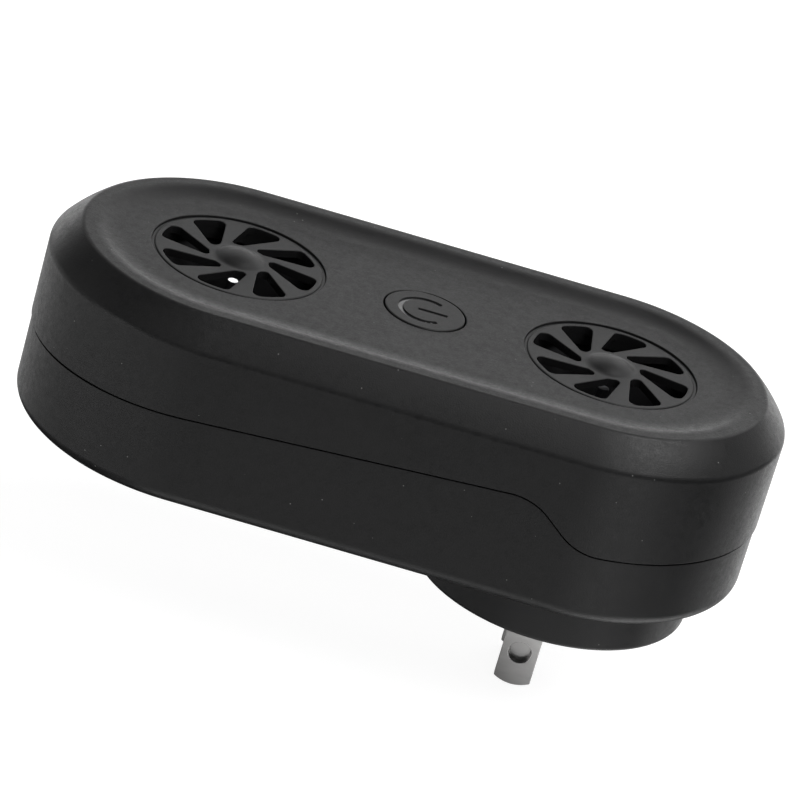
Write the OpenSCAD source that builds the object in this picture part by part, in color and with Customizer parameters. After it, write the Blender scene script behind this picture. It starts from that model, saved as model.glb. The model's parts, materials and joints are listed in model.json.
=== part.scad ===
// Plug-in ultrasonic pest repeller, twin speaker, pill-shaped case.
// The origin is in the round plug face, on the axis of the speaker at the plug end.
// +Z runs out of the wall through the speaker face, the blades point to -Z,
// and the long axis of the case runs along X with the plug at the +X end.

/* [Case] */
// Overall length of the case
case_l = 127.2; // [126:0.2:131]
// Overall width of the case
case_w = 62.8; // [62.6:0.1:63.6]
// Depth of the case from the face panel to its back
case_d = 32.4; // [31.8:0.2:34]
// Thickness of the shell walls
wall = 2.2; // [2:0.1:2.3]
// Height of the rounded rim above the face panel
rim_h = 1.05; // [1:0.05:1.3]
// Width of the bevel between the rim and the side wall
bevel_w = 4.6; // [4.2:0.1:5.2]
// Drop of the bevel from the rim to the side wall
bevel_h = 4.85; // [4.4:0.05:5.2]
// Fillet round the back edge of the case
back_r = 2.5; // [1.5:0.25:2.75]

/* [Seam] */
// Visible gap between the two shells
seam_gap = 0.3; // [0.1:0.05:0.35]
// Amount by which the front shell stands proud of the back shell
seam_lip = 0.25; // [0.1:0.05:0.4]
// Height of the level part of the seam, round the plug end
seam_low = 21.15; // [20.6:0.1:21.6]
// Slope of the long part of the seam, in degrees
seam_tilt = 3.7; // [3.2:0.1:4.2]

/* [Plug] */
// Diameter of the boss at the plug face
boss_d = 48; // [46:0.5:49]
// Distance from the right speaker's axis to the middle of the boss
boss_x = 0.5; // [0:0.1:0.6]
// Height of the boss from the case back to the plug face
boss_h = 8.9; // [8.5:0.1:9.5]
// Width of a plug blade
blade_w = 6.35; // [6.2:0.05:6.5]
// Thickness of a plug blade
blade_t = 1.5; // [1.4:0.05:1.6]
// Length of a blade outside the plug face
blade_l = 18.2; // [15.9:0.1:18.3]
// Distance between the middles of the two blades
blade_pitch = 12.7; // [12.5:0.1:12.9]
// Diameter of the round recess in a blade
blade_hole_d = 3.9; // [3.2:0.1:4.1]
// Depth of the round recess in a blade
blade_hole_deep = 1.2; // [0.8:0.05:1.25]
// Distance from the plug face to the middle of that recess
blade_hole_z = 11.9; // [11:0.1:12.5]

/* [Grilles] */
// Diameter of the grille opening in the face
grille_hole_d = 30; // [29.8:0.1:30.2]
// Gap round the flange of each grille
grille_gap = 0.1; // [0.05:0.05:0.2]
// Width of the groove between the disc and the opening
groove_w = 0.6; // [0.4:0.05:0.8]
// Depth of the groove below the face panel
groove_d = 0.35; // [0.25:0.05:0.5]
// Depth of the disc below the face panel
disc_sink = 0.12; // [0.1:0.02:0.2]
// Number of slots in a grille
slot_n = 8; // [6:1:8]
// Height of the dome on the grille hub
hub_h = 1.1; // [0.6:0.05:1.1]

/* [Button] */
// Diameter of the button opening in the face
button_hole_d = 14.3; // [14:0.1:14.8]
// Gap round the button cap
button_gap = 0.25; // [0.15:0.05:0.4]
// Height of the cap above the face panel
button_rise = 0.1; // [0:0.05:0.3]
// Depth of the engraved power mark
mark_deep = 0.3; // [0.2:0.05:0.6]

/* [Hidden] */
$fn = 64;
eps = 0.01;

rw = case_w / 2;                 // radius of the round ends
hs = (case_l - case_w) / 2;      // half of the straight part
mid_x = -hs;                     // middle of the case
left_x = -2 * hs;                // axis of the left speaker
back_z = boss_h;                 // back of the case
face_z = boss_h + case_d;        // face panel
rim_z = face_z + rim_h;
rim_w = rw - bevel_w;            // radius of the rim corner
ceil_z = face_z - wall;          // inside of the face
floor_z = back_z + wall;         // inside of the back
rwb = rw - seam_lip;             // radius of the back shell
wall_r = rw - wall;              // inside radius of the front shell
dish_r0 = rim_w - 7.95;          // where the face starts to rise
dish_r1 = rim_w - 3.55;          // steepest point of the rise
dish_r2 = rim_w - 1.85;          // where the rim levels off
blade_x = -0.6;                  // the blade pair sits just off the speaker axis
board_top = 22;
board_t = 1.6;
board_x0 = mid_x - 38;
board_x1 = mid_x + 19;
board_w = 36;
screw_xy = [for (sx = [-14.2, 14.2], sy = [-23.5, 23.5]) [mid_x + sx, sy]];
stand_xy = [for (sx = [-34.2, 15.2], sy = [-14.5, 14.5]) [mid_x + sx, sy]];
ear_a = [0, 120, 240];
ear_r = 20.8;

// points of an arc from angle a to angle b
function arc(c, r, a, b, n) = [for (i = [0 : n]) let (t = a + (b - a) * i / n) c + r * [cos(t), sin(t)]];
function rev(p) = [for (i = [len(p) - 1 : -1 : 0]) p[i]];

// the seam as seen from the side: a long slope, a step down, then level
seam_a = 39.5;
seam_r1 = 10;
seam_r2 = 11;
seam_x = mid_x + 21.4;
seam_z = 28.4 + (seam_x + 10.8) * tan(seam_tilt);
seam_d1 = seam_r1 * [sin(seam_tilt) + sin(seam_a), cos(seam_a) - cos(seam_tilt)];
seam_d2 = seam_r2 * [sin(seam_a), cos(seam_a) - 1];
seam_run = (seam_z + seam_d1[1] + seam_d2[1] - seam_low) / tan(seam_a);
seam_c1 = [seam_x, seam_z] + seam_r1 * [sin(seam_tilt), -cos(seam_tilt)];
seam_c2 = [seam_x, seam_low] + [seam_d1[0] + seam_run + seam_d2[0], seam_r2];
function seam(h) = [for (p = concat(
        [[mid_x - 90, seam_z - (seam_x - mid_x + 90) * tan(seam_tilt)]],
        arc(seam_c1, seam_r1, 90 + seam_tilt, 90 - seam_a, 8),
        arc(seam_c2, seam_r2, 270 - seam_a, 270, 8),
        [[mid_x + 90, seam_low]])) p + [0, h]];

// everything below the seam, raised by h
module below(h) rotate([90, 0, 0]) linear_extrude(height = 120, center = true)
    polygon(concat(seam(h), [[mid_x + 90, -60], [mid_x - 90, -60]]));
// a band that follows the seam
module band(h0, h1) rotate([90, 0, 0]) linear_extrude(height = 120, center = true)
    polygon(concat(seam(h1), rev(seam(h0))));

// a pill-shaped solid from a profile of radius and height that starts and ends on the axis
module pill(p) {
    rotate([0, 0, -90]) rotate_extrude(angle = 180) polygon(p);
    translate([left_x, 0, 0]) rotate([0, 0, 90]) rotate_extrude(angle = 180) polygon(p);
    translate([left_x, 0, 0]) rotate([90, 0, 90]) linear_extrude(height = 2 * hs) union() {
        polygon(p);
        mirror([1, 0]) polygon(p);
    }
}
module at(list) for (p = list) translate([p[0], p[1], 0]) children();
module left_side() translate([left_x, 0, 0]) mirror([1, 0, 0]) children();

// the dished face: a flat panel that rises in a smooth curve to the rim
dish_k = 2 * rim_h / (dish_r2 - dish_r0);
function dish(r) = r < dish_r1
    ? face_z + dish_k * pow(r - dish_r0, 2) / (2 * (dish_r1 - dish_r0))
    : rim_z - dish_k * pow(dish_r2 - r, 2) / (2 * (dish_r2 - dish_r1));
bev_a = atan(bevel_h / bevel_w);
rim_c = 1.2 * tan(bev_a / 2);
low_c = 1.8 * tan((90 - bev_a) / 2);
front_profile = concat(
    [[0, 0], [rw, 0]],
    arc([rw - 1.8, rim_z - bevel_h - low_c], 1.8, 0, 90 - bev_a, 4),
    arc([rim_w - rim_c, rim_z - 1.2], 1.2, 90 - bev_a, 90, 4),
    [for (i = [0 : 4]) let (r = dish_r2 + (dish_r1 - dish_r2) * i / 4) [r, dish(r)]],
    [for (i = [1 : 5]) let (r = dish_r1 + (dish_r0 - dish_r1) * i / 5) [r, dish(r)]],
    [[0, face_z]]);
in_w = rim_w + (rim_h + wall) / tan(bev_a) - wall / sin(bev_a);
in_h = rim_z - bevel_h - wall * tan((90 - bev_a) / 2);
front_cavity = [[0, -1], [wall_r, -1], [wall_r, in_h], [in_w, ceil_z], [0, ceil_z]];
back_profile = concat([[0, back_z]], arc([rwb - back_r, back_z + back_r], back_r, 270, 360, 6), [[rwb, 50], [0, 50]]);
back_cavity = concat([[0, floor_z]], arc([rwb - wall - 1.5, floor_z + 1.5], 1.5, 270, 360, 4), [[rwb - wall, 51], [0, 51]]);

module front_shell() color([0.12, 0.12, 0.12]) difference() {
    union() {
        difference() {
            pill(front_profile);
            pill(front_cavity);
            below(seam_gap);
            intersection() {
                pill([[0, 5], [rw - 1.05, 5], [rw - 1.05, in_h - 1], [0, in_h - 1]]);
                below(2.2);
            }
        }
        // screw bosses, grille ledges, button guide and speaker posts
        at(screw_xy) translate([0, 0, 19.05]) cylinder(h = ceil_z - 19, r = 3.3);
        for (x = [left_x, 0]) translate([x, 0, ceil_z - 0.8]) cylinder(h = 0.85, r = 17.2);
        translate([mid_x, 0, ceil_z - 3.5]) cylinder(h = 3.55, r = 9.7);
        for (m = [0, 1]) translate([m * left_x, 0, 0]) mirror([m, 0, 0]) for (a = ear_a)
            rotate([0, 0, a]) translate([ear_r, 0, ceil_z - 1.6]) cylinder(h = 1.65, r = 2.5);
    }
    at(screw_xy) translate([0, 0, 18]) cylinder(h = 16, r = 1.5);
    for (x = [left_x, 0]) translate([x, 0, 0]) {
        translate([0, 0, ceil_z - 2]) cylinder(h = 6, r = grille_hole_d / 2 - 0.95);
        translate([0, 0, face_z - 1.5]) cylinder(h = 6, r = grille_hole_d / 2);
    }
    translate([mid_x, 0, ceil_z - 4]) {
        cylinder(h = 4, r = button_hole_d / 2 + 1.2);
        cylinder(h = 10, r = button_hole_d / 2);
        translate([0, -1, 0]) cube([9.9, 2, 4]);
    }
    for (m = [0, 1]) translate([m * left_x, 0, 0]) mirror([m, 0, 0]) for (a = ear_a)
        rotate([0, 0, a]) translate([ear_r, 0, ceil_z - 2]) cylinder(h = 3.1, r = 0.95);
}

module back_shell() color([0.1, 0.1, 0.1]) difference() {
    union() {
        intersection() {
            difference() {
                pill(back_profile);
                pill(back_cavity);
            }
            below(0);
        }
        // the tongue that laps inside the front shell
        intersection() {
            difference() {
                pill([[0, 12], [rw - 1.2, 12], [rw - 1.2, 40], [0, 40]]);
                pill([[0, 11], [rw - 2.1, 11], [rw - 2.1, 41], [0, 41]]);
            }
            band(-2.5, 1.9);
        }
        // the boss that carries the plug
        translate([boss_x, 0, 0]) rotate_extrude() polygon(concat([[0, 0]],
            arc([boss_d / 2 - 0.8, 0.8], 0.8, 270, 360, 4),
            [[boss_d / 2 + 0.5, back_z + 0.1], [0, back_z + 0.1]]));
        at(screw_xy) translate([0, 0, back_z + 1]) cylinder(h = 18 - back_z, r = 4.2);
        at(stand_xy) translate([0, 0, back_z + 1]) cylinder(h = board_top - board_t - back_z - 1, r = 2.8);
    }
    difference() {
        translate([boss_x, 0, wall]) cylinder(h = back_z + 1, r = boss_d / 2 - wall);
        for (s = [-1, 1]) translate([blade_x + s * 11, 0, 0]) cylinder(h = 5.2, r = 3);
        at(stand_xy) translate([0, 0, -1]) cylinder(h = 40, r = 2.8);
        at(screw_xy) translate([0, 0, -1]) cylinder(h = 40, r = 4.2);
    }
    for (s = [-1, 1]) {
        translate([blade_x - blade_w / 2 - 0.1, s * blade_pitch / 2 - blade_t / 2 - 0.1, -1]) cube([blade_w + 0.2, blade_t + 0.2, 5]);
        translate([blade_x + s * 11, 0, 1]) cylinder(h = 5, r = 0.95);
    }
    at(screw_xy) {
        translate([0, 0, back_z - 1]) cylinder(h = 7.1, r = 3.1);
        translate([0, 0, back_z]) cylinder(h = 20, r = 1.6);
    }
    at(stand_xy) translate([0, 0, 13]) cylinder(h = 20, r = 0.95);
}

// one swirl slot: a rounded four-sided opening, narrow at the hub and wide at the rim
slot_c = [[5.8, 1.2], [5.95, 0.55], [11.7, -4.72], [12.37, -2.86], [12.6, -0.42]];
slot_r = 0.8;
module slot() {
    n = len(slot_c);
    polygon([for (i = [0 : n - 1]) let (a = slot_c[i], b = slot_c[(i + 1) % n], d = (b - a) / norm(b - a), o = slot_r * [d[1], -d[0]])
        each [a + o, b + o]]);
    for (c = slot_c) translate(c) circle(r = slot_r, $fn = 32);
}
module grille() color([0.1, 0.1, 0.1]) {
    gr = grille_hole_d / 2 - grille_gap;
    dr = grille_hole_d / 2 - groove_w;
    top = face_z - disc_sink;
    difference() {
        union() {
            rotate_extrude() polygon([[0, face_z - 1.5], [gr, face_z - 1.5], [gr, face_z - groove_d], [dr, face_z - groove_d],
                [dr, top - 0.1], [dr - 0.3, top], [0, top]]);
            intersection() {
                translate([0, 0, face_z - 1]) cylinder(h = 2.2, r = 4.15);
                translate([0, 0, top + hub_h - hub_r]) sphere(r = hub_r, $fn = 96);
            }
            difference() {
                translate([0, 0, ceil_z - 1.35]) cylinder(h = wall + 0.2, r = 13.95);
                translate([0, 0, ceil_z - 2]) cylinder(h = wall + 0.5, r = 13.45);
            }
        }
        for (k = [0 : slot_n - 1]) rotate([0, 0, k * 360 / slot_n]) translate([0, 0, face_z - 2])
            linear_extrude(height = 3) slot();
    }
    // snap hooks that catch under the ledge
    for (a = [22.5 : 90 : 360]) rotate([0, 0, a]) rotate_extrude(angle = 18)
        polygon([[13.9, ceil_z - 1.35], [14, ceil_z - 1.35], [14.45, ceil_z - 0.88], [13.9, ceil_z - 0.88]]);
}
hub_r = (4.15 * 4.15 + hub_h * hub_h) / (2 * hub_h);
module left_grille() translate([left_x, 0, 0]) grille();
module right_grille() grille();

// speaker parts, on the axis of the right speaker
module gasket() color([0.2, 0.2, 0.22]) rotate_extrude()
    polygon([[15.2, ceil_z - 1.6], [18.2, ceil_z - 1.6], [18.2, ceil_z - 0.8], [15.2, ceil_z - 0.8]]);
module speaker_frame() color([0.16, 0.16, 0.17]) difference() {
    union() {
        rotate_extrude() polygon([[0, 26], [9.4, 26], [15.6, 35.5], [18.5, 35.5], [18.5, ceil_z - 1.6], [14.8, ceil_z - 1.6],
            [14.8, 36.5], [13.2, 36.5], [13.2, 34.4], [8.6, 27.2], [7.6, 27.2], [7.6, 28], [6.6, 28], [6.6, 27.2], [0, 27.2]]);
        for (a = ear_a) rotate([0, 0, a]) translate([0, 0, 35.5]) linear_extrude(height = ceil_z - 37.1) {
            translate([17, -3]) square([ear_r - 17, 6]);
            translate([ear_r, 0]) circle(r = 3);
        }
    }
    for (a = ear_a) rotate([0, 0, a]) translate([ear_r, 0, 30]) cylinder(h = 12, r = 1.1);
    // rear vents
    for (a = [45 : 90 : 360]) rotate([0, 0, a]) translate([10.2, 0, 31]) rotate([0, 33, 0]) cylinder(h = 12, r = 1.6, center = true);
}
module speaker_cone() color([0.13, 0.13, 0.14]) rotate_extrude()
    polygon([[0, 28.6], [1.2, 28.6], [1.2, 30.95], [4.4, 30.95], [13.1, 36.5], [14.7, 36.5], [14.7, 36.9], [12.95, 36.9], [4.4, 31.45], [0, 31.45]]);
// the plug in front of the cone
module phase_plug() color([0.75, 0.75, 0.76]) rotate_extrude()
    polygon([[0, 31.45], [2.9, 31.45], [2.9, 31.9], [1.5, 32.3], [1.1, 34.6], [0.96, 36.8], [0.86, 36.9], [0, 36.9]]);
module piezo_disc() color([0.8, 0.65, 0.3]) union() {
    translate([0, 0, 28]) cylinder(h = 0.3, r = 7.2);
    translate([0, 0, 28.25]) cylinder(h = 0.35, r = 5.4);
}
module speaker_terminals() color([0.8, 0.7, 0.4]) for (s = [-1, 1]) translate([-4.5, s * 3, 0]) {
    translate([-1.6, -1.3, 25.6]) cube([3.2, 2.6, 0.4]);
    translate([-0.2, -1.1, 23.7]) cube([0.4, 2.2, 2]);
}
module left_gasket() left_side() gasket();
module right_gasket() gasket();
module left_speaker_frame() left_side() speaker_frame();
module right_speaker_frame() speaker_frame();
module left_speaker_cone() left_side() speaker_cone();
module right_speaker_cone() speaker_cone();
module left_phase_plug() left_side() phase_plug();
module right_phase_plug() phase_plug();
module left_piezo_disc() left_side() piezo_disc();
module right_piezo_disc() piezo_disc();
module left_speaker_terminals() left_side() speaker_terminals();
module right_speaker_terminals() speaker_terminals();

// the button cap with its flange, key and push rod; the mark opens towards the plug end
module power_button() color([0.12, 0.12, 0.12]) translate([mid_x, 0, 0]) {
    br = button_hole_d / 2 - button_gap;
    top = face_z + button_rise;
    difference() {
        union() {
            translate([0, 0, ceil_z - 1.2]) cylinder(h = top - ceil_z + 1.2, r = br);
            translate([0, 0, ceil_z - 1.2]) cylinder(h = 1.15, r = button_hole_d / 2 + 0.8);
            translate([7, -0.8, ceil_z - 1.2]) cube([2.2, 1.6, 1.15]);
        }
        difference() {
            translate([0, 0, ceil_z - 2]) cylinder(h = 2.8, r = br - 1.3);
            translate([0, 0, ceil_z - 3]) cylinder(h = 5, r = 1.8);
        }
        translate([0, 0, top - mark_deep]) {
            rotate([0, 0, 55]) rotate_extrude(angle = 250) translate([3.85, 0]) square([0.75, 1]);
            translate([-1.2, -0.36, 0]) cube([5.1, 0.72, 1]);
        }
    }
    translate([0, 0, 29.05]) cylinder(h = ceil_z - 29.05, r = 1.8);
}
module switch_body() color([0.15, 0.15, 0.16]) translate([mid_x, 0, board_top]) difference() {
    union() {
        translate([-3, -3, 0]) cube([6, 6, 3.5]);
        for (sx = [-1, 1], sy = [-1, 1]) translate([sx * 3.15 - 0.25, sy * 2.2 - 0.35, 0]) cube([0.5, 0.7, 2.2]);
    }
    translate([0, 0, 1.4]) cylinder(h = 4, r = 1.82);
}
module switch_plunger() color([0.85, 0.85, 0.82]) translate([mid_x, 0, board_top + 2.2]) cylinder(h = 4.8, r = 1.75);
module status_led() color([0.75, 0.85, 0.75]) translate([mid_x, -6.8, board_top]) {
    cylinder(h = 1, r = 1.9);
    cylinder(h = 3, r = 1.5);
    translate([0, 0, 3]) sphere(r = 1.5);
}

module circuit_board() color([0.1, 0.35, 0.15]) difference() {
    translate([board_x0, -board_w / 2, board_top - board_t]) cube([board_x1 - board_x0, board_w, board_t]);
    at(stand_xy) translate([0, 0, board_top - 5]) cylinder(h = 10, r = 1.1);
}
module transformer_core() color([0.25, 0.25, 0.26]) translate([mid_x, 11, board_top]) difference() {
    translate([-6.5, -2.5, 0]) cube([13, 5, 11]);
    for (s = [-1, 1]) translate([s * 2.95 - 1.35, -3, 2]) cube([2.7, 6, 7]);
}
module transformer_winding() color([0.75, 0.6, 0.15]) translate([mid_x, 11, board_top]) difference() {
    translate([-4.2, -5.2, 2.1]) cube([8.4, 10.4, 6.8]);
    translate([-1.65, -2.55, 2]) cube([3.3, 5.1, 7]);
}
module input_capacitor() color([0.8, 0.65, 0.1]) translate([mid_x - 1.5, 4.5, 11.9]) cube([13, 6.5, board_top - board_t - 11.9]);
module smoothing_capacitor() color([0.1, 0.12, 0.3]) translate([mid_x - 20.5, 8, 16.3]) rotate([0, 90, 0]) {
    cylinder(h = 12, r = 4);
    translate([0, 0, 12]) cylinder(h = 0.6, r = 3.6);
}
module rectifier() color([0.08, 0.08, 0.08]) translate([mid_x, -11, board_top - board_t - 3.3]) cube([8.5, 6.4, 3.3]);
module driver_chip() color([0.08, 0.08, 0.08]) translate([mid_x - 24.5, 3, board_top]) {
    cube([5, 4, 1.5]);
    for (i = [0 : 3], s = [-0.9, 4]) translate([0.4 + i * 1.27, s, 0]) cube([0.4, 0.9, 0.3]);
}
module fuse_resistor() color([0.3, 0.5, 0.3]) translate([mid_x + 13, 3, board_top - board_t - 1.8]) rotate([90, 0, 0]) {
    cylinder(h = 8, r = 1.6);
    translate([0, 0, -1]) cylinder(h = 10, r = 0.3);
}
module choke() color([0.2, 0.2, 0.2]) translate([mid_x - 12, -8, board_top - board_t - 8.4]) {
    cylinder(h = 1.2, r = 3.6);
    cylinder(h = 8.4, r = 2.4);
    translate([0, 0, 7.2]) cylinder(h = 1.2, r = 3.6);
}
module connector() {
    difference() {
        translate([-3.7, -2.9, 0]) cube([7.4, 5.8, 6]);
        translate([-3, -2.2, 1.2]) cube([6, 4.4, 6]);
    }
    translate([-2.9, -2.1, 1.2]) cube([5.8, 4.2, 6.3]);
}
conn = [9.2, -12];
module speaker_connectors() color([0.92, 0.92, 0.9]) for (s = [-1, 1])
    translate([mid_x + s * conn[0], conn[1], board_top]) connector();

// a round wire along a route of points
function dirs(p) = [for (i = [0 : len(p) - 1]) let (a = p[max(i - 1, 0)], b = p[min(i + 1, len(p) - 1)]) (b - a) / norm(b - a)];
module wire(p, r, up, m = 8) {
    t = dirs(p);
    n = len(p);
    pts = [for (i = [0 : n - 1]) let (u = cross(t[i], up) / norm(cross(t[i], up)), v = cross(t[i], u))
        for (k = [0 : m - 1]) p[i] + r * (cos(360 * k / m) * u + sin(360 * k / m) * v)];
    polyhedron(pts, concat(
        [[for (k = [0 : m - 1]) k]],
        [[for (k = [m - 1 : -1 : 0]) (n - 1) * m + k]],
        [for (i = [0 : n - 2], k = [0 : m - 1]) let (a = i * m + k, b = i * m + (k + 1) % m) [b, a, a + m, b + m]]));
}
lead_a = [[-23, -12, 29.52], [-23, -12, 30.6], [-22.2, -12, 31.5], [-20.7, -11.9, 31.8], [-18.8, -11.6, 31.1], [-16.6, -11.1, 29.3],
    [-14.1, -10.2, 27], [-11.4, -8.6, 25.4], [-8.9, -6.4, 24.8], [-7, -4.2, 24.6], [-5.9, -3.1, 24.6], [-4.74, -3.1, 24.6]];
lead_b = [[-21.6, -11.6, 29.52], [-21.6, -11.6, 30.2], [-20.9, -11, 30.7], [-19.4, -9.8, 30.5], [-17.4, -7.4, 29], [-15, -4.2, 26.7],
    [-12.4, -1.2, 25.2], [-9.8, 1.4, 24.7], [-7.6, 2.9, 24.6], [-6.2, 3.1, 24.6], [-4.74, 3.1, 24.6]];
module speaker_lead() color([0.75, 0.1, 0.1]) {
    wire(lead_a, 0.55, [0, 1, 0.2]);
    wire(lead_b, 0.55, [0.2, -1, 0.9]);
}
module left_speaker_lead() left_side() speaker_lead();
module right_speaker_lead() speaker_lead();
module mains_leads() color([0.15, 0.15, 0.16]) for (s = [-1, 1]) mirror([0, s < 0 ? 1 : 0, 0])
    wire([[blade_x, 6.35, 13.02], [blade_x, 6.35, 14.6], [-1.5, 6.6, 16.3], [-3.4, 6.8, 17.8], [-6.4, 7, 18.5], [-9.6, 7, 18.3],
        [-12.6, 6.9, 17.9], [-14.8, 6.8, 18.2], [-16.3, 6.7, 19.1], [-16.3, 6.7, 20.38]], 0.9, [0, 1, 0]);

module blade_carrier() color([0.85, 0.83, 0.78]) translate([blade_x, 0, 0]) difference() {
    union() {
        translate([-7.5, -9.5, wall]) cube([15, 19, 6]);
        translate([-14, -3.5, 5.2]) cube([28, 7, 2.2]);
    }
    for (s = [-1, 1]) {
        translate([-blade_w / 2 - 0.05, s * blade_pitch / 2 - blade_t / 2 - 0.05, 0]) cube([blade_w + 0.1, blade_t + 0.1, 12]);
        translate([-4.9, s * blade_pitch / 2 - blade_t / 2 - 0.05, 0]) cube([9.8, blade_t + 0.1, wall + 2.65]);
        translate([s * 11, 0, 0]) {
            cylinder(h = 12, r = 1.1);
            cylinder(h = 5.2, r = 3.3);
        }
    }
}
module blade() color([0.72, 0.71, 0.69]) translate([blade_x, blade_t / 2, 0]) rotate([90, 0, 0]) difference() {
    linear_extrude(height = blade_t) difference() {
    union() {
        translate([-blade_w / 2, 0]) square([blade_w, 13]);
        translate([-4.8, wall + 0.05]) square([9.6, 2.5]);
        intersection() {
            translate([-blade_w / 2, -blade_l]) square([blade_w, blade_l + 0.1]);
            union() {
                translate([-blade_w / 2, 6 - blade_l]) square([blade_w, blade_l]);
                translate([0, 6 - blade_l]) circle(r = 6, $fn = 96);
            }
        }
    }
    translate([0, 11]) circle(r = 1, $fn = 32);
    }
    // round recess in the outer face
    translate([0, -blade_hole_z, blade_t - blade_hole_deep]) cylinder(h = blade_t, r = blade_hole_d / 2);
}
module near_plug_blade() translate([0, -blade_pitch / 2, 0]) blade();
module far_plug_blade() translate([0, blade_pitch / 2, 0]) mirror([0, 1, 0]) blade();

// a pan-head screw with its head downwards and its seat at z = 0
module screw(r, l, hr, hh) difference() {
    union() {
        cylinder(h = l - r, r = r);
        translate([0, 0, l - r]) cylinder(h = r, r1 = r, r2 = 0.3);
        translate([0, 0, -hh]) cylinder(h = hh, r = hr);
    }
    for (a = [0, 90]) rotate([0, 0, a]) translate([-hr * 0.62, -0.35, -hh - 1]) cube([hr * 1.24, 0.7, 1 + hh * 0.6]);
}
module case_screws() color([0.6, 0.6, 0.62]) at(screw_xy) translate([0, 0, back_z + 6.1]) screw(1.45, 16, 2.75, 2);
module board_screws() color([0.7, 0.7, 0.7]) at(stand_xy) translate([0, 0, board_top]) mirror([0, 0, 1]) screw(0.9, 7.5, 2, 1.4);
module speaker_screws() color([0.7, 0.7, 0.7]) for (m = [0, 1]) translate([m * left_x, 0, 0]) mirror([m, 0, 0]) for (a = ear_a)
    rotate([0, 0, a]) translate([ear_r, 0, 35.5]) screw(0.9, 4.3, 2, 1.3);
module carrier_screws() color([0.7, 0.7, 0.7]) for (s = [-1, 1]) translate([blade_x + s * 11, 0, 7.4]) mirror([0, 0, 1]) screw(0.9, 6, 2, 1.4);

front_shell();
back_shell();
left_grille();
right_grille();
left_gasket();
right_gasket();
left_speaker_frame();
right_speaker_frame();
left_speaker_cone();
right_speaker_cone();
left_phase_plug();
right_phase_plug();
left_piezo_disc();
right_piezo_disc();
left_speaker_terminals();
right_speaker_terminals();
power_button();
switch_body();
switch_plunger();
status_led();
circuit_board();
transformer_core();
transformer_winding();
input_capacitor();
smoothing_capacitor();
rectifier();
driver_chip();
fuse_resistor();
choke();
speaker_connectors();
left_speaker_lead();
right_speaker_lead();
mains_leads();
blade_carrier();
near_plug_blade();
far_plug_blade();
case_screws();
board_screws();
speaker_screws();
carrier_screws();
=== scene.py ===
import json
import math

import bmesh
import bpy
from mathutils import Matrix, Vector
from mathutils.geometry import delaunay_2d_cdt


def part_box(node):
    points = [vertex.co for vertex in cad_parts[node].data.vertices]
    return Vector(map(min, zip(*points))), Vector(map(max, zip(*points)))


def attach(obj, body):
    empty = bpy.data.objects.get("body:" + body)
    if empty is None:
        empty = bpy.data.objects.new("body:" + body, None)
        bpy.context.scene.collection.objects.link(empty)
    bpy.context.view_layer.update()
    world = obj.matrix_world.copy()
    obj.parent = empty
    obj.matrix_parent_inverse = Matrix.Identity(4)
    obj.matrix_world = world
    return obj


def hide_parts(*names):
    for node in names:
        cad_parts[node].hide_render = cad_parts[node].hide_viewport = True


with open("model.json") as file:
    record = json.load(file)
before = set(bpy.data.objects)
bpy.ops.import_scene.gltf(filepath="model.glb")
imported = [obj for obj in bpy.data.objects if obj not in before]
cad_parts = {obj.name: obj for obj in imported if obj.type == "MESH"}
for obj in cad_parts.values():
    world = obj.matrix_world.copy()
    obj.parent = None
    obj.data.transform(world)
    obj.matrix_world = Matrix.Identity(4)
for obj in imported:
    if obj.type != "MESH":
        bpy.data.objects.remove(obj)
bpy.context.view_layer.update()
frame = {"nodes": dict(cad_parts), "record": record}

# ---------------------------------------------------------------- sizes, in millimetres
MM = 0.001


def cad(node):
    """a CAD node's box in millimetres"""
    lo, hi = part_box(node)
    return [c * 1000 for c in lo], [c * 1000 for c in hi]


front_lo, front_hi = cad("front_shell")
back_lo, back_hi = cad("back_shell")
grille_lo, grille_hi = cad("right_grille")
left_lo, left_hi = cad("left_grille")
blade_lo, blade_hi = cad("near_plug_blade")
far_lo, far_hi = cad("far_plug_blade")

RW = front_hi[1]                          # radius of the round ends
LEFT_X = front_lo[0] + RW                 # axis of the left speaker
MID_X = LEFT_X / 2
RIM_Z = front_hi[2]
RIM_H = 1.05
FACE_Z = RIM_Z - RIM_H
WALL = 2.2
CEIL_Z = FACE_Z - WALL
BEVEL_W, BEVEL_H = 4.6, 4.85
RIM_W = RW - BEVEL_W
RWB = back_hi[1]                          # radius of the back shell
BACK_Z = 8.9
FLOOR_Z = BACK_Z + WALL
BACK_R = 2.5
BOSS_R, BOSS_X = 24.0, 0.5
GRILLE_R = grille_hi[0]
GRILLE_HOLE = GRILLE_R + 0.06
BUTTON_HOLE = 7.15
BUTTON_R = 6.9
BLADE_X = (blade_lo[0] + blade_hi[0]) / 2
BLADE_Y = (far_lo[1] + far_hi[1]) / 2
BLADE_T = blade_hi[1] - blade_lo[1]
BLADE_W = 6.35
BLADE_L = -blade_lo[2]
BLADE_HOLE_Z = 11.9
BLADE_HOLE_DEEP = 1.2
SEAM_GAP = 0.34
BULGE = math.radians(6.5)
SEAM_LOW = 21.15
SEAM_TILT = math.radians(3.7)

DISH_0, DISH_1, DISH_2 = RIM_W - 7.95, RIM_W - 3.55, RIM_W - 1.85
SCREWS = [(MID_X + sx, sy) for sx in (-14.2, 14.2) for sy in (-23.5, 23.5)]
STANDS = [(MID_X + sx, sy) for sx in (-34.2, 15.2) for sy in (-14.5, 14.5)]
POSTS = [(20.8 * math.cos(math.radians(a)), 20.8 * math.sin(math.radians(a))) for a in (0, 120, 240)]


def arc(cx, cy, r, a, b, n):
    """n + 1 points of an arc from angle a to angle b, in degrees"""
    return [(cx + r * math.cos(math.radians(a + (b - a) * i / n)), cy + r * math.sin(math.radians(a + (b - a) * i / n)))
            for i in range(n + 1)]


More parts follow.
